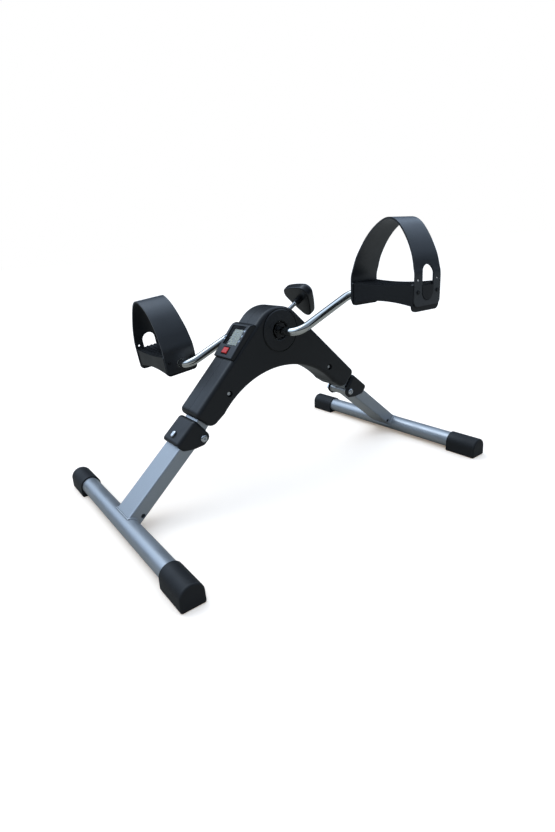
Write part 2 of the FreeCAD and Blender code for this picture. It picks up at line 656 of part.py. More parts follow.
def crank_bracket():
    """Two steel cheeks welded to the frame tubes, joined by a web and the nut tab."""
    inner = Sizes.frame_tube_width / 2
    outline = rounded([(-50, 194, 4), (-50, 218, 4), (-20, 247, 4), (20, 247, 4),
                       (50, 218, 4), (50, 194, 4)])
    pieces = []
    for side in (-1, 1):
        cheek = pad(f"cheek_{side}", "XZ", outline, PLATE_OUT - inner,
                    lift=-side * inner, reverse=side > 0)
        pieces.append(cheek)
    pieces.append(box("bracket_web", 40.0, 2 * inner, 3.0, Placement(V(0, 0, 194), Rotation())))
    pieces.append(box("bracket_tab", 17.0, 2 * inner, TAB_TOP - TAB_LOW,
                      TENSION * Placement(V(0, 0, TAB_LOW), Rotation())))
    blank = fuse("bracket_blank", *pieces)
    bore = cylinder("bracket_bore", BUSH_R, 60.0, along_y(0, -30, Sizes.crank_height))
    screw = cylinder("bracket_screw_hole", "Sizes.tension_screw_r + 0.4", 20.0,
                     TENSION * Placement(V(0, 0, -20), Rotation()))
    node(cut("bracket", blank, bore, screw), "crank_bracket")

    for side, word in ((1, "left"), (-1, "right")):
        turn = -90 if side > 0 else 90
        profile = [(Sizes.sleeve_r + RUNNING_GAP, inner - 1.5), (13.0, inner - 1.5),
                   (13.0, inner), (BUSH_R, inner), (BUSH_R, PLATE_OUT + 0.5),
                   (Sizes.sleeve_r + RUNNING_GAP, PLATE_OUT + 0.5)]
        node(turned(f"bearing_{word}", profile,
                    Placement(V(0, 0, Sizes.crank_height), Rotation(X_AXIS, turn))),
             f"crank_bearing_{word}")


# ---------------------------------------------------------------- crank
MAGNET_REACH = 17.0
DISC_Y = 9.5
ROD_START = 1.0
PIN_END = 95.0           # end of a pedal pin from the pedal's inner face


def crank_frame(side):
    """Local x along the crank arm, y outward along the axle, for the right (-1) or left (1)."""
    rise = math.radians(Sizes.crank_angle)
    reach = V(-side * math.cos(rise), 0, -side * math.sin(rise))
    outward = V(0, side, 0)
    normal = reach.cross(outward)
    turn = Rotation(reach, outward, normal, "XYZ")
    return Placement(V(0, 0, Sizes.crank_height), turn)


def crank_rod(side):
    """A round rod with two equal bends, swept along its axis."""
    bend = Sizes.rod_bend
    plane = Sizes.arm_plane
    throw = Sizes.crank_radius
    end = Sizes.pedal_inner + PIN_END
    path = rounded_path([(0, ROD_START, 0), (0, plane, bend), (throw, plane, bend),
                         (throw, end, 0)])
    name = "crank_" + ("left" if side > 0 else "right")
    body = doc.addObject("PartDesign::Body", name + "_rod")
    spine = sketch_in(body, "XY", path)
    section = sketch_in(body, "XZ", circle(0, 0, Sizes.rod_r), lift=-ROD_START)
    pipe = body.newObject("PartDesign::AdditivePipe", name + "_pipe")
    pipe.Profile = section
    pipe.Spine = spine
    body.Placement = crank_frame(side)
    return node(body, name)


def crank_parts():
    crank_rod(-1)
    crank_rod(1)
    height = Sizes.crank_height
    node(ring("sleeve", "Sizes.sleeve_r", "Sizes.rod_r", 52.0, along_y(0, -26, height)),
         "axle_sleeve")
    node(ring("drum", "Sizes.sleeve_r + 2", "Sizes.sleeve_r", 14.0, along_y(0, -7, height)),
         "brake_drum")
    disc = ring("disc", 20.0, "Sizes.sleeve_r", 3.0, along_y(0, DISC_Y, height))
    pocket_place = along_y(-MAGNET_REACH, DISC_Y + 1.0, height)
    node(cut("disc_cut", disc, cylinder("magnet_pocket", 2.0, 2.0, pocket_place)), "magnet_disc")
    node(cylinder("magnet", 2.0, 2.0, pocket_place), "sensor_magnet")

    washers = []
    nuts = []
    for start in (PLATE_OUT + 0.8, -PLATE_OUT - 2.0):
        washers.append(ring(f"washer_{start:.0f}", 12.0, "Sizes.sleeve_r", 1.2,
                            along_y(0, start, height)))
    for start in (PLATE_OUT + 2.1, -PLATE_OUT - 2.1 - 3.6):
        place = along_y(0, start, height)
        nuts.append(cut(f"axle_nut_{start:.0f}", hexagon(f"axle_hex_{start:.0f}", 20.0, 3.6, place),
                        cylinder(f"axle_thread_{start:.0f}", "Sizes.sleeve_r", 3.6, place)))
    node(group("axle_washers_group", washers), "axle_washers")
    node(group("axle_nuts_group", nuts), "axle_nuts")

    clips = []
    for side in (-1, 1):
        place = crank_frame(side) * along_y(Sizes.crank_radius, Sizes.pedal_inner + 90.6, 0)
        clips.append(ring(f"clip_{side}", 9.0, "Sizes.rod_r", 1.2, place))
    node(group("pin_clips_group", clips), "pin_clips")


# ---------------------------------------------------------------- pedals
PEDAL_PITCH = {"right": 0.5, "left": -6.0}
PEDAL_WALL = 3.0
TREAD_EDGE, TREAD_MID = 15.4, 12.6       # tread height over the pin
SKIRT_EDGE, SKIRT_MID = -12.0, -6.8      # lower edge of the side walls
INNER_PLATE_LOW, OUTER_PLATE_LOW = -15.4, -18.6
PEG_HEIGHT, PEG_SPACING = 5.2, 37.5
HOLE_HEIGHT = 19.6
RIBS, RIB_PITCH, RIB_WIDE, RIB_TALL = 7, 6.6, 2.6, 1.3
WINDOW_HALF, WINDOW_LOW, WINDOW_TOP = 11.0, -6.0, 37.2


def pedal_frame(word):
    """Local y outward along the pin from the pedal's inner face, z up through the tread."""
    side = 1 if word == "left" else -1
    pin = crank_frame(side).multVec(V(Sizes.crank_radius, Sizes.pedal_inner, 0))
    turn = Rotation(Y_AXIS, PEDAL_PITCH[word])
    if side < 0:
        turn = turn * Rotation(Z_AXIS, 180)
    return Placement(pin, turn)


def band(low_edge, low_mid, high_edge, high_mid, start, stop):
    """A side view between two shallow arcs, in the YZ plane."""
    centre = (start + stop) / 2
    return [Part.Arc(V(start, low_edge, 0), V(centre, low_mid, 0), V(stop, low_edge, 0)),
            Part.LineSegment(V(stop, low_edge, 0), V(stop, high_edge, 0)),
            Part.Arc(V(stop, high_edge, 0), V(centre, high_mid, 0), V(start, high_edge, 0)),
            Part.LineSegment(V(start, high_edge, 0), V(start, low_edge, 0))]


def end_plate(low):
    """Outline of a pedal's end plate, down to low."""
    return rounded([(-26, low, 7), (26, low, 7), (26, TREAD_EDGE, 2), (-26, TREAD_EDGE, 2)])


def pedal_body(word):
    name = "pedal_" + word
    length = Sizes.pedal_length
    tread = pad(name + "_tread", "YZ",
                band(SKIRT_EDGE, SKIRT_MID, TREAD_EDGE, TREAD_MID, 1.0, length - 1.0),
                "Sizes.pedal_width", middle=True)
    inset = PEDAL_WALL
    pocket(tread, "YZ",
           band(-40.0, -41.0, TREAD_EDGE - inset, TREAD_MID - inset, inset, length - inset),
           f"Sizes.pedal_width - {2 * PEDAL_WALL}", middle=True)
    for index in range(RIBS):
        offset = (index - (RIBS - 1) / 2) * RIB_PITCH - RIB_WIDE / 2
        rib = band(TREAD_EDGE - 1.0, TREAD_MID - 1.0, TREAD_EDGE + RIB_TALL,
                   TREAD_MID + RIB_TALL, 2.0, length - 2.0)
        pad(f"{name}_rib_{index}", "YZ", rib, RIB_WIDE, lift=offset, body=tread)

    inner_plate = pad(name + "_inner_plate", "XZ", end_plate(INNER_PLATE_LOW), PEDAL_WALL,
                      reverse=True)
    outer_plate = pad(name + "_outer_plate", "XZ", end_plate(OUTER_PLATE_LOW), PEDAL_WALL,
                      reverse=True, lift=-(length - PEDAL_WALL))
    barrel = cylinder(name + "_barrel", 10.0, length, along_y(0, 0, 0))
    clip_room = cylinder(name + "_clip_barrel", 12.0, 20.0, along_y(0, length - 20.0, 0))
    half = WINDOW_HALF - 0.4
    boss = pad(name + "_boss", "XZ",
               [Part.Arc(V(-half, 5.4, 0), V(0, 5.4 - half, 0), V(half, 5.4, 0)),
                Part.LineSegment(V(half, 5.4, 0), V(half, TREAD_MID, 0)),
                Part.LineSegment(V(half, TREAD_MID, 0), V(-half, TREAD_MID, 0)),
                Part.LineSegment(V(-half, TREAD_MID, 0), V(-half, 5.4, 0))],
               2.6, reverse=True, lift=-length)
    pegs = []
    for x in (-PEG_SPACING / 2, PEG_SPACING / 2):
        for start in (-3.4, length - 0.5):
            pegs.append(cylinder(f"{name}_peg_{x:.0f}_{start:.0f}", 2.2, 3.9,
                                 along_y(x, start, PEG_HEIGHT)))
    blank = fuse(name + "_blank", tread, inner_plate, outer_plate, barrel, clip_room, boss, *pegs)
    bore = cylinder(name + "_bore", 8.0, 90.0, along_y(0, 0, 0))
    clip_space = cylinder(name + "_clip_space", 10.0, 9.0, along_y(0, 89.9, 0))
    result = cut(name + "_cut", blank, bore, clip_space)
    result.Placement = pedal_frame(word)
    node(result, word + "_pedal_body")

    bushes = []
    for index, start in enumerate((0.0, 78.0)):
        bushes.append(ring(f"{name}_bush_{index}", 8.0, f"Sizes.rod_r + {RUNNING_GAP}", 12.0,
                           along_y(0, start, 0)))
    pair = group(name + "_bushes", bushes)
    pair.Placement = pedal_frame(word)
    node(pair, word + "_pedal_bushes")


# centre line of a strap over the foot: across the pedal, and above the pin
STRAP_ARCH = ((-1.1, 20), (2, 33), (6.2, 45), (13.5, 58), (22.6, 70.5), (33, 80.8), (45, 88.8),
              (59, 93.3), (71, 89.6), (81.3, 79.6), (89, 68.3), (95.4, 56), (99.8, 44.6),
              (102.8, 32), (104.1, 20))
STRAP_END = -12.0


def strap_side(shift):
    """One face of the strap: the arch's curve moved along its own normals."""
    centre = Part.BSplineCurve()
    centre.interpolate(Points=[V(y, z, 0) for y, z in STRAP_ARCH],
                       InitialTangent=V(0, 1, 0), FinalTangent=V(0, -1, 0))
    moved = []
    for y, z in STRAP_ARCH:
        tangent = centre.tangent(centre.parameter(V(y, z, 0)))[0]
        normal = V(-tangent.y, tangent.x, 0)
        moved.append(V(y, z, 0) + normal * shift)
    side = Part.BSplineCurve()
    side.interpolate(Points=moved, InitialTangent=V(0, 1, 0), FinalTangent=V(0, -1, 0))
    return side, moved[0], moved[-1]


def strap(word):
    name = "strap_" + word
    half = Sizes.strap_thickness / 2
    outer, outer_start, outer_stop = strap_side(half)
    inner, inner_start, inner_stop = strap_side(-half)
    outline = [
        outer, inner,
        Part.LineSegment(outer_start, V(outer_start.x, STRAP_END, 0)),
        Part.LineSegment(V(outer_start.x, STRAP_END, 0), V(inner_start.x, STRAP_END, 0)),
        Part.LineSegment(V(inner_start.x, STRAP_END, 0), inner_start),
        Part.LineSegment(inner_stop, V(inner_stop.x, STRAP_END, 0)),
        Part.LineSegment(V(inner_stop.x, STRAP_END, 0), V(outer_stop.x, STRAP_END, 0)),
        Part.LineSegment(V(outer_stop.x, STRAP_END, 0), outer_stop)]
    band_body = pad(name + "_band", "YZ", outline, "Sizes.strap_width", middle=True)
    wide, waist = Sizes.strap_width / 2, Sizes.strap_waist / 2
    shape = rounded([(-wide, STRAP_END, 6), (wide, STRAP_END, 6), (wide, 24, 500),
                     (waist, 72, 500), (waist, 100, 0), (-waist, 100, 0), (-waist, 72, 500),
                     (-wide, 24, 500)])
    taper = pad(name + "_taper", "XZ", shape, 140.0, lift=20.0, reverse=True)
    trimmed = put(doc.addObject("Part::Common", name + "_trimmed"), Base=band_body, Tool=taper)

    low = WINDOW_LOW + WINDOW_HALF
    high = WINDOW_TOP - WINDOW_HALF
    slot = [Part.Arc(V(-WINDOW_HALF, low, 0), V(0, WINDOW_LOW, 0), V(WINDOW_HALF, low, 0)),
            Part.LineSegment(V(WINDOW_HALF, low, 0), V(WINDOW_HALF, high, 0)),
            Part.Arc(V(WINDOW_HALF, high, 0), V(0, WINDOW_TOP, 0), V(-WINDOW_HALF, high, 0)),
            Part.LineSegment(V(-WINDOW_HALF, high, 0), V(-WINDOW_HALF, low, 0))]
    tools = [pad(name + "_window", "XZ", slot, 25.0, lift=-95.0, reverse=True),
             cylinder(name + "_pin_hole", 7.0, 10.0, along_y(0, -6, 0))]
    for x in (-PEG_SPACING / 2, PEG_SPACING / 2):
        tools.append(cylinder(f"{name}_peg_hole_{x:.0f}", 2.4, 140.0, along_y(x, -15, PEG_HEIGHT)))
        tools.append(cylinder(f"{name}_spare_hole_{x:.0f}", 1.7, 25.0, along_y(x, 95, HOLE_HEIGHT)))
    result = cut(name + "_cut", trimmed, *tools)
    result.Placement = pedal_frame(word)
    node(result, word + "_strap")


# ---------------------------------------------------------------- tension knob and brake
SCREW_TIP = 17.0 - TENSION_REACH         # 17 mm from the crank axis
NUT_TALL = 4.0
SHOE_TOP = SCREW_TIP - TOUCH_GAP
FELT = 2.0
BRAKE_GAP = 1.3
LOBE_R, LOBE_REACH = 12.0, 17.8
KNOB_BOSS_R, KNOB_BOSS = 5.2, 8.0        # collar under the knob
SCREW_GRIP = 7.0         # tension screw inside the knob, past the collar


def knob_outline():
    """Three round lobes joined by shallow bulging sides."""
    edges = []
    corners = [math.radians(120 * i) for i in range(3)]
    for here, following in zip(corners, corners[1:] + corners[:1]):
        after = here + math.radians(60)
        centre = V(LOBE_REACH * math.cos(here), LOBE_REACH * math.sin(here), 0)
        spread = math.radians(52)
        first = centre + V(math.cos(here - spread), math.sin(here - spread), 0) * LOBE_R
        top = centre + V(math.cos(here), math.sin(here), 0) * LOBE_R
        last = centre + V(math.cos(here + spread), math.sin(here + spread), 0) * LOBE_R
        next_centre = V(LOBE_REACH * math.cos(following), LOBE_REACH * math.sin(following), 0)
        next_first = next_centre + V(math.cos(following - spread),
                                     math.sin(following - spread), 0) * LOBE_R
        waist = V(math.cos(after), math.sin(after), 0) * (LOBE_REACH / 2 + LOBE_R + 0.7)
        edges.append(Part.Arc(first, top, last))
        edges.append(Part.Arc(last, waist, next_first))
    return edges


def tension_parts():
    screw_top = Sizes.knob_gap + SCREW_GRIP
    node(cylinder("tension_rod", "Sizes.tension_screw_r", screw_top - SCREW_TIP,
                  TENSION * Placement(V(0, 0, SCREW_TIP), Rotation())), "tension_screw")
    knob = pad("knob", "XY", knob_outline(), "Sizes.knob_height", lift=Sizes.knob_gap)
    top = Sizes.knob_gap + Sizes.knob_height
    fillet_where(knob, 7.5, at_extreme("Z", top))
    fillet_where(knob, 1.8, at_extreme("Z", Sizes.knob_gap))
    collar = Sizes.knob_gap - KNOB_BOSS
    pad("knob_collar", "XY", circle(0, 0, KNOB_BOSS_R), KNOB_BOSS + 1.0, lift=collar, body=knob)
    pocket(knob, "XY", circle(0, 0, Sizes.tension_screw_r), KNOB_BOSS + SCREW_GRIP, lift=collar,
           forward=True)
    knob.Placement = TENSION * Placement(V(0, 0, 0), Rotation(Z_AXIS, Sizes.knob_turn))
    node(knob, "tension_knob")

    nut_place = TENSION * Placement(V(0, 0, TAB_LOW - NUT_TALL), Rotation())
    node(cut("nut", hexagon("nut_hex", 10.0, NUT_TALL, nut_place),
             cylinder("nut_thread", f"Sizes.tension_screw_r + {RUNNING_GAP}", NUT_TALL, nut_place)),
         "tension_nut")

    felt_in = Sizes.sleeve_r + 2.0 + BRAKE_GAP
    block = box("shoe_block", 22.0, 14.0, 6.2,
                TENSION * Placement(V(0, 0, SHOE_TOP - 6.2), Rotation()))
    hollow = cylinder("shoe_hollow", felt_in + FELT, 20.0,
                      across(TENSION, 0, -TENSION_REACH, -10))
    node(cut("shoe", block, hollow), "brake_shoe")
    lining = ring("felt_ring", felt_in + FELT, felt_in, 12.0,
                  across(TENSION, 0, -TENSION_REACH, -6))
    window = box("felt_window", 18.0, 14.0, 7.0,
                 TENSION * Placement(V(0, 0, SHOE_TOP - 6.6), Rotation()))
    node(put(doc.addObject("Part::Common", "felt"), Base=lining, Tool=window), "brake_felt")


# ---------------------------------------------------------------- display module
CASE_HALF = 22.8
CASE_WALL = 1.6
CASE_PROFILE = ((CASE_LOW, 4.5), (-30.0, 7.0), (-24.0, 6.2), (CASE_HIGH, 2.2))
WINDOW_X = (-58.0, -27.0)
WINDOW_Y = 16.5
BUTTON_X, BUTTON_LONG, BUTTON_WIDE = -67.3, 9.0, 12.0


def display_parts():
    """The display module on the front slope, from the window down to the tray."""
    frame = ARM["front"]
    corners = [(CASE_LOW, CASE_SEAT, 0)] + [(x, z, 1.5) for x, z in CASE_PROFILE]
    corners.append((CASE_HIGH, CASE_SEAT, 0))
    case = pad("case", "XZ", rounded(corners), 2 * CASE_HALF, middle=True)
    sides = [at_extreme("Y", CASE_HALF), at_extreme("Y", -CASE_HALF)]
    fillet_where(case, 1.8, lambda e: any(t(e) for t in sides) and e.BoundBox.ZMin > 0)
    hollow = [(CASE_LOW + CASE_WALL, CASE_SEAT - 1), (CASE_LOW + CASE_WALL, 2.8), (-30, 5.3),
              (-25.5, 4.7), (CASE_HIGH - CASE_WALL, 1.2), (CASE_HIGH - CASE_WALL, CASE_SEAT - 1)]
    pocket(case, "XZ", closed(hollow), 2 * (CASE_HALF - CASE_WALL), middle=True)
    pocket(case, "XY", rectangle(WINDOW_X[0], -WINDOW_Y, WINDOW_X[1], WINDOW_Y), 12.0,
           lift=-0.0, forward=True)
    long, wide = BUTTON_LONG / 2 + 0.4, BUTTON_WIDE / 2 + 0.4
    pocket(case, "XY", rectangle(BUTTON_X - long, -wide, BUTTON_X + long, wide), 12.0,
           forward=True)
    case.Placement = frame
    node(case, "display_case")

    def slab(name, x_range, half_width, low, tall, y=0.0):
        middle = (x_range[0] + x_range[1]) / 2
        return box(name, x_range[1] - x_range[0], 2 * half_width, tall,
                   frame * Placement(V(middle, y, low), Rotation()))

    tray_hole = cylinder("tray_wire_hole", WIRE_R + 0.4, 6.0,
                         frame * Placement(V(WIRE_RISE, WIRE_Y, -4), Rotation()))
    tray = slab("tray", (CASE_LOW + CASE_WALL, CASE_HIGH - CASE_WALL), CASE_HALF - CASE_WALL,
                -1.8, 1.0)
    node(cut("tray_cut", tray, tray_hole), "display_tray")
    node(slab("board", (-74, -23), 18.0, -0.6, 1.0), "circuit_board")
    # window and panel lie parallel to the case's top face
    ridge = CASE_PROFILE[1]
    lean = math.degrees(math.atan2(ridge[1] - CASE_PROFILE[0][1], ridge[0] - CASE_LOW))
    middle = (WINDOW_X[0] + WINDOW_X[1]) / 2
    top = frame * Placement(V(ridge[0], 0, ridge[1]), Rotation(Y_AXIS, -lean)) * Placement(
        V(middle - ridge[0], 0, 0), Rotation())
    long = WINDOW_X[1] - WINDOW_X[0]
    node(box("panel", long + 1.2, 34.0, 2.4, top * Placement(V(0, 0, -4.8), Rotation())),
         "lcd_panel")
    node(box("lens", long - 0.4, 2 * WINDOW_Y, 1.0, top * Placement(V(0, 0, -2.2), Rotation())),
         "display_window")
    node(cylinder("cell", 5.6, 2.4, frame * Placement(V(-67.5, 14.2, 0.5), Rotation())),
         "button_cell")

    cap = slab("reset_cap", (BUTTON_X - BUTTON_LONG / 2, BUTTON_X + BUTTON_LONG / 2),
               BUTTON_WIDE / 2, 2.0, 4.4)
    rounded_cap = doc.addObject("Part::Fillet", "reset_rounded")
    doc.recompute()
    top_edges = [i + 1 for i, e in enumerate(cap.Shape.Edges)
                 if frame.inverse().multVec(e.CenterOfMass).z > 6.3]
    rounded_cap.Base = cap
    rounded_cap.Edges = [(i, 0.8, 0.8) for i in top_edges]
    flange = slab("reset_flange", (BUTTON_X - 6.0, BUTTON_X + 6.0), 7.6, 1.6, 0.8)
    node(fuse("reset", rounded_cap, flange), "reset_button")
    node(turned("dome", [(0, 0.5), (1.6, 0.45), (3.0, 0.0), (3.0, -0.1), (0, -0.1)],
                frame * Placement(V(BUTTON_X, 0, 0.6), Rotation())), "reset_dome")

    node(box("reed", 6.0, 4.1, 14.0,
             Placement(V(-MAGNET_REACH, 14.95, Sizes.crank_height - 7), Rotation())),
         "speed_sensor")
    sensor_wire()


def sensor_wire():
    """The lead from the speed sensor, down inside the front tube and up to the board."""
    frame = ARM["front"]
    start = frame.inverse().multVec(V(-MAGNET_REACH - 3.8, WIRE_Y, Sizes.crank_height + 1.0))
    corners = [(start.x, start.z, 0), (start.x - 5.0, start.z + 3.0, 4.0), (-24, -14, 6),
               (WIRE_RISE, -14, 5), (WIRE_RISE, -0.8, 0)]
    path = Part.Wire([edge.toShape() for edge in rounded_path(corners)])
    path.rotate(V(0, 0, 0), X_AXIS, 90)
    first = path.Edges[0]
    tangent = first.tangentAt(first.FirstParameter)
    begin = first.valueAt(first.FirstParameter)
    section = Part.Wire([Part.Circle(begin, tangent, WIRE_R).toShape()])
    lead = doc.addObject("Part::Feature", "lead")
    lead.Shape = path.makePipeShell([section], True, False)
    lead.Placement = frame * Placement(V(0, WIRE_Y, 0), Rotation())
    node(lead, "sensor_wire")


# ---------------------------------------------------------------- build
front_tube = frame_tube("front")
rear_tube = frame_tube("rear")
for end, tube in (("front", front_tube), ("rear", rear_tube)):
    leg_parts(end)
    hinge_cover(end, tube)
pivot_hardware()
rivets()
housing_half(1)
housing_half(-1)
housing_screws()
crank_bracket()
crank_parts()
for word in PEDAL_PITCH:
    pedal_body(word)
    strap(word)
tension_parts()
display_parts()
doc.recompute()

# ---------------------------------------------------------------- check and write
failed = [f.Name for f in doc.Objects if "Invalid" in f.State or "Error" in f.State]
if failed:
    raise RuntimeError(f"features that did not build: {failed}")
for name, feature in NODES.items():
    if feature.Shape.isNull() or not feature.Shape.isValid() or not feature.Shape.Solids:
        raise RuntimeError(f"{name} has no valid solid")
os.makedirs("parts", exist_ok=True)
for name, feature in NODES.items():
    feature.Shape.exportStep(f"parts/{name}.step")
print(len(NODES), "sub-parts written")
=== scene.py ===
import json
import math

import bmesh
import bpy
from mathutils import Matrix, Vector


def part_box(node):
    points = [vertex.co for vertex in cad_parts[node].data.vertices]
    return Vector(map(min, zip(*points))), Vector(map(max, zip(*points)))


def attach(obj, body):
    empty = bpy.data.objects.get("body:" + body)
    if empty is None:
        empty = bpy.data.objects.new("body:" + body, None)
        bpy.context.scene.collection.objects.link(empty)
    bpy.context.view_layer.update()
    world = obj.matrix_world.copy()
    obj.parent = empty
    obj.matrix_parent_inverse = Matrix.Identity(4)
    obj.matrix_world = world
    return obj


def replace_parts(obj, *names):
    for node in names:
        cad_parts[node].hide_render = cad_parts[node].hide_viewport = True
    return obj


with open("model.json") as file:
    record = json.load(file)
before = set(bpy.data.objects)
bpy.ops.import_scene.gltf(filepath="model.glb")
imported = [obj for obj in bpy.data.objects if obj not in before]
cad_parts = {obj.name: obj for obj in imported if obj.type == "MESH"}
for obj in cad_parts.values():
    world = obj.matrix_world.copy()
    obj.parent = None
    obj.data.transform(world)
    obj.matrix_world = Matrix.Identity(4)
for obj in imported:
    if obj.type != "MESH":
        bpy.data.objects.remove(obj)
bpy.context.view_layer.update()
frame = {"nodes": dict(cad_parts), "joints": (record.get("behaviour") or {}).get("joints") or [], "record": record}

NODES = frame["nodes"]
JOINTS = {joint["name"]: joint for joint in frame["joints"]}
MM = 0.001


# ---------------------------------------------------------------- materials
class Shader:
    """A Principled material built up node by node, in the row frame's own coordinates."""

    def __init__(self, name, color, roughness, metallic=0.0, **inputs):
        self.material = bpy.data.materials.new(name)
        self.material.use_nodes = True
        self.tree = self.material.node_tree
        self.surface = self.tree.nodes["Principled BSDF"]
        self.surface.inputs["Base Color"].default_value = (*color, 1.0)
        self.surface.inputs["Roughness"].default_value = roughness
        self.surface.inputs["Metallic"].default_value = metallic
        for key, value in inputs.items():
            self.surface.inputs[key.replace("_", " ")].default_value = value
        self.place = self.node("ShaderNodeTexCoord").outputs["Object"]
        self.normal = None

    def node(self, kind, **values):
        made = self.tree.nodes.new(kind)
        for key, value in values.items():
            setattr(made, key, value)
        return made

    def link(self, source, target):
        self.tree.links.new(source, target)

    def stretched(self, scale):
        """The surface coordinates, stretched by a scale on each axis."""
        mapping = self.node("ShaderNodeMapping")
        mapping.inputs["Scale"].default_value = scale
        self.link(self.place, mapping.inputs["Vector"])
        return mapping.outputs["Vector"]

    def noise(self, scale, detail=3.0, rough=0.5, vector=None):
        texture = self.node("ShaderNodeTexNoise")
        texture.inputs["Scale"].default_value = scale
        texture.inputs["Detail"].default_value = detail
        texture.inputs["Roughness"].default_value = rough
        self.link(vector or self.place, texture.inputs["Vector"])
        return texture.outputs["Fac"]

    def cells(self, scale, vector=None):
        texture = self.node("ShaderNodeTexVoronoi")
        texture.inputs["Scale"].default_value = scale
        self.link(vector or self.place, texture.inputs["Vector"])
        return texture

    def spread(self, value, low, high, out_low, out_high):
        """Map a pattern's range to another one, without going past it."""
        ramp = self.node("ShaderNodeMapRange")
        for key, number in (("From Min", low), ("From Max", high),
                            ("To Min", out_low), ("To Max", out_high)):
            ramp.inputs[key].default_value = number
        self.link(value, ramp.inputs["Value"])
        return ramp.outputs["Result"]

    def tint(self, value, other):
        """Mix the base colour towards another where the pattern is high."""
        mix = self.node("ShaderNodeMix", data_type="RGBA")
        socket = self.surface.inputs["Base Color"]
        if socket.is_linked:
            self.link(socket.links[0].from_socket, mix.inputs["A"])
        else:
            mix.inputs["A"].default_value = socket.default_value
        mix.inputs["B"].default_value = (*other, 1.0)
        self.link(value, mix.inputs["Factor"])
        self.link(mix.outputs["Result"], socket)

    def rough(self, value, low, high):
        """Let a pattern drive the roughness between two values."""
        self.link(self.spread(value, 0.3, 0.7, low, high), self.surface.inputs["Roughness"])

    def bump(self, value, height, strength=1.0):
        """Add a height pattern, in metres, on top of any earlier one."""
        made = self.node("ShaderNodeBump")
        made.inputs["Distance"].default_value = height
        made.inputs["Strength"].default_value = strength
        self.link(value, made.inputs["Height"])
        if self.normal is not None:
            self.link(self.normal, made.inputs["Normal"])
        self.normal = made.outputs["Normal"]
        self.link(self.normal, self.surface.inputs["Normal"])


def moulded_plastic(name, color, roughness, grain=0.00003, grain_scale=1800.0, gloss_spread=0.06,
                    gloss=0.5, haze=0.0):
    """Black moulding: spark-eroded grain, faint flow marks and handling smears."""
    shader = Shader(name, color, roughness, Specular_IOR_Level=gloss, Sheen_Weight=haze,
                    Sheen_Roughness=0.35, Sheen_Tint=(0.7, 0.82, 1.0, 1.0))
    smear = shader.noise(22.0, 4.0, 0.6)
    shader.rough(smear, roughness - gloss_spread, roughness + gloss_spread)
    shader.tint(shader.spread(shader.noise(9.0, 5.0, 0.6), 0.45, 0.8, 0.0, 0.35),
                tuple(min(1.0, c * 1.5 + 0.004) for c in color))
    shader.bump(shader.noise(grain_scale, 2.0, 0.6), grain)
    shader.bump(shader.noise(60.0, 2.0, 0.4), 0.00008)
    return shader.material


def silver_paint():
    """Metallic powder coat: fine flakes, slight orange peel, a little dust."""
    shader = Shader("silver_paint", (0.4, 0.415, 0.43), 0.42, 0.8, Coat_Weight=0.15,
                    Coat_Roughness=0.25)
    flakes = shader.cells(5200.0)
    tone = shader.node("ShaderNodeSeparateColor")
    shader.link(flakes.outputs["Color"], tone.inputs["Color"])
    shader.tint(shader.spread(tone.outputs["Red"], 0.2, 1.0, 0.0, 0.35), (0.56, 0.58, 0.6))
    shader.tint(shader.spread(shader.noise(14.0, 4.0, 0.6), 0.5, 0.85, 0.0, 0.3),
                (0.32, 0.335, 0.35))
    shader.rough(shader.noise(45.0, 3.0, 0.5), 0.33, 0.44)
    shader.bump(shader.noise(900.0, 1.0, 0.4), 0.00002)
    return shader.material


def plated(name, color, roughness, brush=0.0):
    """Bright plating over steel, with faint smudges and, where asked, brush lines."""
    shader = Shader(name, color, roughness, 1.0)
    shader.rough(shader.noise(70.0, 4.0, 0.6), roughness * 0.7, roughness * 1.5)
    shader.bump(shader.noise(350.0, 2.0, 0.5), 0.000006)
    if brush:
        lines = shader.noise(900.0, 2.0, 0.5, shader.stretched((1.0, 0.05, 1.0)))
        shader.bump(lines, brush)
    return shader.material


def soft_rubber():
    """Matte rubber with a fine pebbled skin and dusty patches."""
    shader = Shader("cap_rubber", (0.006, 0.006, 0.0065), 0.55, 0.0, Specular_IOR_Level=0.4)
    shader.rough(shader.noise(30.0, 4.0, 0.6), 0.48, 0.64)
    shader.tint(shader.spread(shader.noise(38.0, 5.0, 0.65), 0.5, 0.8, 0.0, 0.4),
                (0.017, 0.0168, 0.016))
    shader.bump(shader.cells(1500.0).outputs["Distance"], 0.00004)
    shader.bump(shader.noise(110.0, 2.0, 0.5), 0.0001)
    return shader.material


def coloured_plastic(name, color, roughness, **inputs):
    """Smooth injection-moulded plastic with a hint of uneven gloss."""
    shader = Shader(name, color, roughness, 0.0, **inputs)
    shader.rough(shader.noise(60.0, 3.0, 0.5), roughness * 0.8, roughness * 1.3)
    shader.tint(shader.spread(shader.noise(35.0, 3.0, 0.5), 0.5, 0.8, 0.0, 0.25),
                tuple(c * 0.8 for c in color))
    shader.bump(shader.noise(700.0, 2.0, 0.5), 0.00001)
    return shader.material


def wool_felt():
    shader = Shader("felt", (0.17, 0.17, 0.16), 0.95, 0.0, Sheen_Weight=0.4)
    fibres = shader.noise(1400.0, 4.0, 0.7, shader.stretched((1.0, 0.3, 1.0)))
    shader.tint(shader.spread(fibres, 0.4, 0.7, 0.0, 0.6), (0.3, 0.3, 0.28))
    shader.bump(fibres, 0.0002)
    return shader.material


def clear_acrylic():
    """The display's window: clear, thin, with a few faint scuffs in its gloss."""
    shader = Shader("clear_window", (0.95, 0.97, 0.97), 0.02, 0.0, Transmission_Weight=1.0,
                    IOR=1.45)
    shader.rough(shader.noise(180.0, 4.0, 0.6), 0.015, 0.05)
    return shader.material


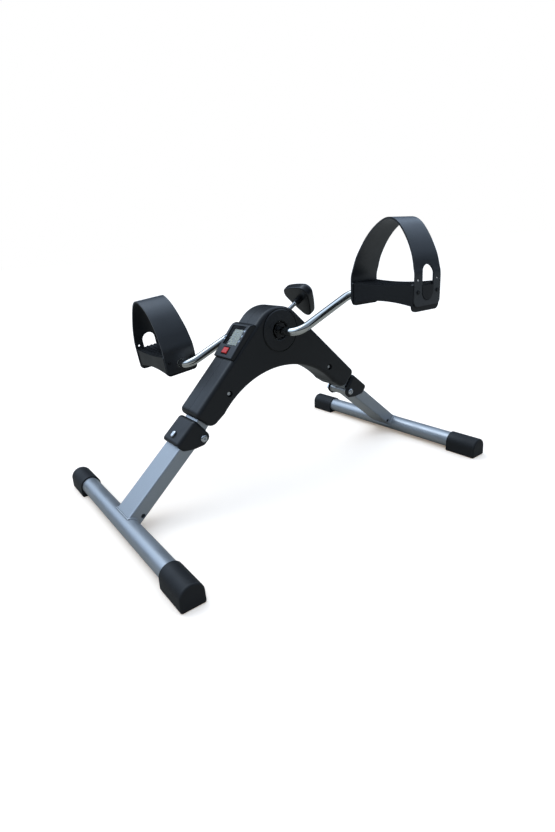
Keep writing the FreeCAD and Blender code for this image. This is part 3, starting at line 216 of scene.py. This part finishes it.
MATERIALS = {
    "black_plastic": moulded_plastic("black_plastic", (0.0045, 0.0046, 0.005), 0.4),
    "display_plastic": moulded_plastic("display_plastic", (0.005, 0.0054, 0.0062), 0.36),
    "knob_plastic": moulded_plastic("knob_plastic", (0.004, 0.0041, 0.0045), 0.3, 0.00001),
    "pedal_plastic": moulded_plastic("pedal_plastic", (0.0045, 0.0045, 0.005), 0.42),
    "strap_plastic": moulded_plastic("strap_plastic", (0.0045, 0.0047, 0.0053), 0.38, 0.00002,
                                     gloss=1.0, haze=0.2),
    "silver_paint": silver_paint(),
    "bare_steel": plated("bare_steel", (0.5, 0.5, 0.49), 0.34, 0.00001),
    "bright_zinc": plated("bright_zinc", (0.72, 0.73, 0.74), 0.22),
    "dark_steel": plated("dark_steel", (0.045, 0.045, 0.047), 0.24),
    "chrome": plated("chrome", (0.72, 0.715, 0.68), 0.06),
    "magnet_grey": plated("magnet_grey", (0.45, 0.45, 0.46), 0.3),
    "nylon": coloured_plastic("nylon", (0.68, 0.66, 0.6), 0.45),
    "felt": wool_felt(),
    "cap_rubber": soft_rubber(),
    "clear_window": clear_acrylic(),
    "lcd_glass": coloured_plastic("lcd_glass", (0.3, 0.275, 0.12), 0.3),
    "board_green": coloured_plastic("board_green", (0.02, 0.16, 0.06), 0.35),
    "wire_sheath": coloured_plastic("wire_sheath", (0.012, 0.012, 0.012), 0.5),
    "red_plastic": coloured_plastic("red_plastic", (0.55, 0.018, 0.012), 0.28),
    # painted shade: a flat matte black laid where the display shows shadow, in its window recess and in the reset
    # button's gap
    "painted_recess_shade": coloured_plastic("painted_recess_shade", (0.003, 0.003, 0.0035), 0.6,
                                   Specular_IOR_Level=0.12),
    "lcd_ink": coloured_plastic("lcd_ink", (0.215, 0.195, 0.09), 0.35),
    "pale_ink": coloured_plastic("pale_ink", (0.42, 0.47, 0.52), 0.5),
}
SLOT_OF = {part["node"]: part["material_slot"] for part in frame["record"]["subparts"]}

for name, cad in NODES.items():
    cad.data.materials.clear()
    cad.data.materials.append(MATERIALS[SLOT_OF[name]])
    cad.data.shade_smooth()


# ---------------------------------------------------------------- mesh helpers
def piece(name, mesh, body, slot, material=None, sharp=35.0):
    """Turn a bmesh into a piece that rides on a body and takes a slot's finish, or the material given in its
    place.
    """
    bmesh.ops.recalc_face_normals(mesh, faces=mesh.faces)
    data = bpy.data.meshes.new(name)
    mesh.to_mesh(data)
    mesh.free()
    data.shade_smooth()
    data.set_sharp_from_angle(angle=math.radians(sharp))
    data.materials.append(material or MATERIALS[slot])
    made = bpy.data.objects.new(name, data)
    bpy.context.scene.collection.objects.link(made)
    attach(made, body)
    return made


def skin(mesh, rings, closed=False):
    """Faces between rings of vertices, with the ends capped or joined to each other."""
    pairs = list(zip(rings, rings[1:]))
    if closed:
        pairs.append((rings[-1], rings[0]))
    else:
        mesh.faces.new(rings[0])
        mesh.faces.new(rings[-1])
    for low, high in pairs:
        for i, corner in enumerate(low):
            j = (i + 1) % len(low)
            mesh.faces.new((corner, low[j], high[j], high[i]))


def lathe(mesh, profile, place, steps=60):
    """Rings of (radius, height) about Z; a radius can be a function of the angle."""
    rings = []
    for radius, height in profile:
        ring = []
        for i in range(steps):
            angle = 2 * math.pi * i / steps
            reach = radius(angle) if callable(radius) else radius
            spot = Vector((reach * math.cos(angle), reach * math.sin(angle), height))
            ring.append(mesh.verts.new(place @ (spot * MM)))
        rings.append(ring)
    skin(mesh, rings)


def hexagon(flats):
    """The radius of a hexagon with this size across its flats, as a function of the angle."""
    def radius(angle):
        return flats / 2 / math.cos(angle % (math.pi / 3) - math.pi / 6)
    return radius


def slab(mesh, place, x_range, y_range, z_range, corner=0.0, steps=6):
    """A plate with rounded corners, standing on its place's own X and Y."""
    centres = [(x_range[1] - corner, y_range[1] - corner), (x_range[0] + corner, y_range[1] - corner),
               (x_range[0] + corner, y_range[0] + corner), (x_range[1] - corner, y_range[0] + corner)]
    outline = []
    for quarter, (x, y) in enumerate(centres):
        for i in range(steps + 1):
            angle = math.pi / 2 * (quarter + i / steps)
            outline.append((x + corner * math.cos(angle), y + corner * math.sin(angle)))
    skin(mesh, [[mesh.verts.new(place @ (Vector((x, y, z)) * MM)) for x, y in outline]
                for z in z_range])


def frame_plate(mesh, place, outer, inner, z_range):
    """A flat frame between two rectangles (x0, y0, x1, y1), as four bars."""
    x0, y0, x1, y1 = outer
    a, b, c, d = inner
    for x_range, y_range in (((x0, a), (y0, y1)), ((c, x1), (y0, y1)),
                             ((a, c), (y0, b)), ((a, c), (d, y1))):
        slab(mesh, place, x_range, y_range, z_range, corner=0.02, steps=1)


# ---------------------------------------------------------------- places, worked out from the frame
ARM_ANGLE, LEG_ANGLE = math.radians(45.2), math.radians(40.6)
ARM_REACH = 37.8
LEG_HALF_WIDTH, LEG_HALF_DEPTH, FOOT_R = 20.0, 10.0, 12.7


def joint_point(name):
    return Vector(JOINTS[name]["pos_m"])


def middle(node):
    low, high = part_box(node)
    return (low + high) / 2


CRANK = joint_point("crank_spin")
ARM = Matrix.Translation(CRANK) @ Matrix.Rotation(-ARM_ANGLE, 4, "Y") @ Matrix.Translation(
    (0, 0, ARM_REACH * MM))
LEG = {"front": Matrix.Translation(middle("front_foot_tube")) @ Matrix.Rotation(-LEG_ANGLE, 4, "Y"),
       "rear": Matrix.Translation(middle("rear_foot_tube")) @ Matrix.Rotation(math.pi, 4, "Z")
       @ Matrix.Rotation(-LEG_ANGLE, 4, "Y")}
TENSION_AXIS = -Vector(JOINTS["tension_turn"]["axis"])
TENSION = Matrix.Translation(joint_point("tension_turn")) @ (
    TENSION_AXIS.to_track_quat("Z", "Y").to_matrix().to_4x4())


# ---------------------------------------------------------------- fasteners and welds
BOLT_HEAD = 3.0
SOCKET = 3.2


def pivot_bolts():
    """Button-head bolts with a hex socket, in the hinges."""
    low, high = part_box("pivot_bolts")
    mesh = bmesh.new()
    length = (high.y - low.y) / MM - BOLT_HEAD
    for end in ("front", "rear"):
        centre = joint_point(end + "_leg_fold")
        seat = Matrix.Translation((centre.x, low.y + BOLT_HEAD * MM, centre.z)) @ (
            Matrix.Rotation(math.pi / 2, 4, "X"))
        profile = [(2.4, -length), (3.0, 0.6 - length), (3.0, -0.01), (4.75, 0.0), (5.0, 0.25),
                   (5.0, 0.9), (4.84, 1.5), (4.45, 2.1), (3.85, 2.58), (3.1, 2.88), (2.35, 3.0),
                   (hexagon(SOCKET + 0.3), 2.96), (hexagon(SOCKET), 2.8), (hexagon(SOCKET), 1.2),
                   (0.7, 0.75)]
        lathe(mesh, profile, seat)
    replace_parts(piece("pivot_bolts_socketed", mesh, "frame", "bright_zinc"), "pivot_bolts")


PITCH, THREAD_DEPTH, SCREW_R = 1.0, 0.52, 3.0


def tension_thread():
    """The tension screw with its real thread, which runs out to a chamfer at the tip."""
    heights = [(TENSION.inverted() @ v.co).z / MM for v in NODES["tension_screw"].data.vertices]
    low, high = min(heights), max(heights)
    mesh = bmesh.new()
    steps, per_turn = 32, 8
    rings = []
    for k in range(int((high - low) / PITCH * per_turn) + 1):
        height = low + k * PITCH / per_turn
        chamfer = max(0.0, 1.0 - (height - low)) * 0.6
        ring = []
        for i in range(steps):
            phase = (height / PITCH - i / steps) % 1.0
            groove = min(1.0, max(0.0, (abs(phase - 0.5) - 0.06) / 0.36))
            reach = min(SCREW_R - THREAD_DEPTH * groove, SCREW_R - chamfer)
            angle = 2 * math.pi * i / steps
            spot = Vector((reach * math.cos(angle), reach * math.sin(angle), height))
            ring.append(mesh.verts.new(TENSION @ (spot * MM)))
        rings.append(ring)
    skin(mesh, rings)
    made = piece("tension_screw_threaded", mesh, "tension_knob", "bright_zinc", sharp=50.0)
    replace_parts(made, "tension_screw")


def leg_welds():
    """A rippled fillet weld all round each leg where it meets the foot tube."""
    wide, deep = LEG_HALF_WIDTH + 0.3, LEG_HALF_DEPTH + 0.3
    corners = [(-wide, deep), (wide, deep), (wide, -deep), (-wide, -deep)]
    for end, frame_of_leg in LEG.items():
        path = []
        for (y0, z0), (y1, z1) in zip(corners, corners[1:] + corners[:1]):
            count = int(math.hypot(y1 - y0, z1 - z0) / 0.45)
            for i in range(count):
                y, z = y0 + (y1 - y0) * i / count, z0 + (z1 - z0) * i / count
                path.append(Vector((math.sqrt((FOOT_R + 0.3) ** 2 - z * z), y, z)))
        mesh = bmesh.new()
        rings = []
        for i, spot in enumerate(path):
            along = (path[(i + 1) % len(path)] - path[i - 1]).normalized()
            out = Vector((spot.x, 0, spot.z)).normalized()
            side = along.cross(out).normalized()
            out = side.cross(along)
            size = 1.25 + 0.22 * abs(math.sin(i * 0.55)) + 0.1 * math.sin(i * 0.13)
            rings.append([mesh.verts.new(frame_of_leg @ (
                (spot + (out * math.cos(a) + side * math.sin(a)) * size) * MM))
                for a in (2 * math.pi * k / 10 for k in range(10))])
        skin(mesh, rings, closed=True)
        piece(end + "_leg_weld", mesh, end + "_leg", "silver_paint", sharp=80.0)


# ---------------------------------------------------------------- display module
RIDGE = Vector((-30.0, 0.0, 7.0))        # where the case's top face turns down, on the slope
FACE_LEAN = math.atan2(2.5, 48.0)
FACE = ARM @ Matrix.Translation(RIDGE * MM) @ Matrix.Rotation(-FACE_LEAN, 4, "Y")
LENS_X, LENS_Y = (-27.8, 2.8), (-16.4, 16.4)
LENS_TOP, PANEL_TOP = -1.2, -2.4
OPENING = (-27.4, -16.0, -2.4, 8.4)      # what the painted recess shadow round the window leaves clear: x0, y0, x1, y1
SHADE_HEIGHT = 0.08                               # height of the painted recess shadow above the lens
SEGMENT_ROWS = (-19.0, -13.4, -7.8)      # the digits' cross bars, from the lower end
SEGMENT_HALF, SEGMENT_TALL = 0.45, 0.04
DIGIT_START, DIGIT_PITCH, DIGIT_WIDE = 5.6, 7.0, 5.2
RESET_X = -37.3
# size of the black frame painted round the reset button as the shade in its gap
RIM_OUTER, RIM_INNER = (6.2, 7.7), (5.0, 6.5)


def display_details():
    """A black strip round the window that paints the shadow in its recess, faint segments, printed marks and a
    black frame round the button that paints the shade in its gap.
    """
    # painted shade: a matte black strip, wide on two sides and thin on the others, stands in for the shadow inside
    # the window's recess
    border = bmesh.new()
    frame_plate(border, FACE, (LENS_X[0], LENS_Y[0], LENS_X[1], LENS_Y[1]),
                OPENING, (LENS_TOP, LENS_TOP + SHADE_HEIGHT))
    piece("window_recess_shade", border, "frame", "display_plastic", MATERIALS["painted_recess_shade"])

    segments = bmesh.new()
    gap, half = 0.35, SEGMENT_HALF
    levels = (PANEL_TOP, PANEL_TOP + SEGMENT_TALL)
    for digit in range(3):
        y = DIGIT_START - digit * DIGIT_PITCH
        for x in SEGMENT_ROWS:
            slab(segments, FACE, (x - half, x + half), (y - DIGIT_WIDE + gap, y - gap),
                 levels, 0.3, 2)
        for x0, x1 in zip(SEGMENT_ROWS, SEGMENT_ROWS[1:]):
            for side in (y - DIGIT_WIDE, y):
                slab(segments, FACE, (x0 + gap, x1 - gap), (side - half, side + half),
                     levels, 0.3, 2)
    piece("lcd_segments", segments, "frame", "lcd_glass", MATERIALS["lcd_ink"])

    marks = bmesh.new()
    for x, y, long, wide in ((-4.5, -18.9, 3.0, 2.4), (-12.5, -18.9, 3.0, 2.4),
                             (-20.5, -18.9, 3.0, 2.4), (-16.0, 18.8, 2.2, 3.4),
                             (-20.4, 18.8, 2.2, 3.4)):
        slab(marks, FACE, (x - long / 2, x + long / 2), (y - wide / 2, y + wide / 2),
             (0.0, 0.05), 0.8, 5)
    piece("case_marks", marks, "frame", "display_plastic", MATERIALS["pale_ink"])

    # painted shade: a black frame round the reset button stands in for the shade in the gap around it
    rim = bmesh.new()
    outer, inner = [(RESET_X - x, -y, RESET_X + x, y) for x, y in (RIM_OUTER, RIM_INNER)]
    frame_plate(rim, FACE, outer, inner, (-0.1, 0.25))
    piece("reset_gap_shade", rim, "frame", "display_plastic", MATERIALS["painted_recess_shade"])


pivot_bolts()
tension_thread()
leg_welds()
display_details()


# ---------------------------------------------------------------- floor, light and camera
SKY = (0.74, 0.93, 1.2)
SKY_STRENGTH = 1.4
DARK_SIDE = (0.5, 0.8, 0.33)       # a dark flag in the reflections, behind on the right
DARK_SIDE_LEVEL = 0.06
FRONT_LEVEL = 0.18


def area_light(name, place, target, size, power, color=(1, 1, 1)):
    """A soft box at place, turned to face target."""
    lamp = bpy.data.lights.new(name, "AREA")
    lamp.shape = "RECTANGLE"
    lamp.size, lamp.size_y = size
    lamp.energy = power
    lamp.color = color
    body = bpy.data.objects.new(name, lamp)
    body.location = place
    body.rotation_euler = (Vector(target) - Vector(place)).to_track_quat("-Z", "Y").to_euler()
    bpy.context.scene.collection.objects.link(body)


def pale_floor():
    """White paper that keeps a grey tone in reflections, so that the black parts stay black."""
    bpy.ops.mesh.primitive_plane_add(size=60.0, location=(0, 0, 0))
    floor = bpy.context.object
    floor.name = "floor"
    paper = Shader("floor_paper", (0.27, 0.24, 0.195), 0.85, Specular_IOR_Level=0.1,
                   Emission_Color=(0.2, 0.155, 0.11, 1.0))
    seen = paper.node("ShaderNodeLightPath").outputs["Is Camera Ray"]
    paper.tint(seen, (0.99, 0.86, 0.73))
    paper.link(seen, paper.surface.inputs["Emission Strength"])
    floor.data.materials.append(paper.material)


class SkyNodes:
    """Small node helpers for the studio's sky."""

    def __init__(self, tree):
        self.tree = tree
        place = tree.nodes.new("ShaderNodeTexCoord")
        self.direction = place.outputs["Generated"]

    def toward(self, direction):
        """How far a ray's direction points along another one, from -1 to 1."""
        dot = self.tree.nodes.new("ShaderNodeVectorMath")
        dot.operation = "DOT_PRODUCT"
        dot.inputs[1].default_value = Vector(direction).normalized()
        self.tree.links.new(self.direction, dot.inputs[0])
        return dot.outputs["Value"]

    def ease(self, value, low, high, out_low, out_high):
        """Run smoothly from one brightness to another as value goes from low to high."""
        ramp = self.tree.nodes.new("ShaderNodeMapRange")
        ramp.interpolation_type = "SMOOTHSTEP"
        for key, number in (("From Min", low), ("From Max", high),
                            ("To Min", out_low), ("To Max", out_high)):
            ramp.inputs[key].default_value = number
        self.tree.links.new(value, ramp.inputs["Value"])
        return ramp.outputs["Result"]

    def times(self, first, second):
        product = self.tree.nodes.new("ShaderNodeMath")
        product.operation = "MULTIPLY"
        self.tree.links.new(first, product.inputs[0])
        self.tree.links.new(second, product.inputs[1])
        return product.outputs["Value"]


def overcast_sky():
    """White behind the object. As light, a bluish sky over a dim horizon; in reflections it is
    brightest behind on the left, and dark behind on the right and in front."""
    world = bpy.data.worlds.new("studio")
    world.use_nodes = True
    tree = world.node_tree
    sky = SkyNodes(tree)
    path = tree.nodes.new("ShaderNodeLightPath")
    up = sky.ease(sky.toward((0, 0, 1)), 0.08, 0.5, 0.06, SKY_STRENGTH)
    flag = sky.ease(sky.toward(DARK_SIDE), 0.74, 0.93, 1.0, DARK_SIDE_LEVEL)
    front = sky.ease(sky.toward((0, 1, 0)), -0.5, 0.2, FRONT_LEVEL, 1.0)
    shade = tree.nodes.new("ShaderNodeMix")
    shade.inputs["A"].default_value = 1.0
    tree.links.new(sky.times(flag, front), shade.inputs["B"])
    tree.links.new(path.outputs["Is Glossy Ray"], shade.inputs["Factor"])
    background = tree.nodes["Background"]
    background.inputs["Color"].default_value = (*SKY, 1.0)
    tree.links.new(sky.times(up, shade.outputs["Result"]), background.inputs["Strength"])
    white = tree.nodes.new("ShaderNodeBackground")
    white.inputs["Color"].default_value = (1.0, 1.0, 1.0, 1.0)
    mix = tree.nodes.new("ShaderNodeMixShader")
    tree.links.new(path.outputs["Is Camera Ray"], mix.inputs["Fac"])
    tree.links.new(background.outputs["Background"], mix.inputs[1])
    tree.links.new(white.outputs["Background"], mix.inputs[2])
    tree.links.new(mix.outputs["Shader"], tree.nodes["World Output"].inputs["Surface"])
    bpy.context.scene.world = world


def studio():
    pale_floor()
    overcast_sky()
    area_light("key", (-0.6, 0.9, 2.4), (0.0, 0.0, 0.2), (1.6, 1.6), 14, (0.9, 0.96, 1.0))
    bpy.context.scene.view_settings.view_transform = "Standard"


def look_from(place, heading, pitch, roll, lens):
    """A camera at place: heading from +X towards +Y, pitch up, roll to its right, in degrees."""
    heading, pitch, roll = (math.radians(angle) for angle in (heading, pitch, roll))
    forward = Vector((math.cos(pitch) * math.cos(heading), math.cos(pitch) * math.sin(heading),
                      math.sin(pitch)))
    level = forward.cross(Vector((0, 0, 1))).normalized()
    upright = level.cross(forward)
    right = math.cos(roll) * level + math.sin(roll) * upright
    up = -math.sin(roll) * level + math.cos(roll) * upright
    camera = bpy.data.cameras.new("camera")
    camera.lens = lens
    camera.sensor_width = 36.0
    camera.clip_start = 0.01
    view = bpy.data.objects.new("camera", camera)
    turn = Matrix((right, up, -forward)).transposed().to_4x4()
    view.matrix_world = Matrix.Translation(place) @ turn
    bpy.context.scene.collection.objects.link(view)
    bpy.context.scene.camera = view


studio()
look_from(Vector((-0.4097, -0.5667, 0.3421)), 53.97, -19.65, -4.10, 20.75)
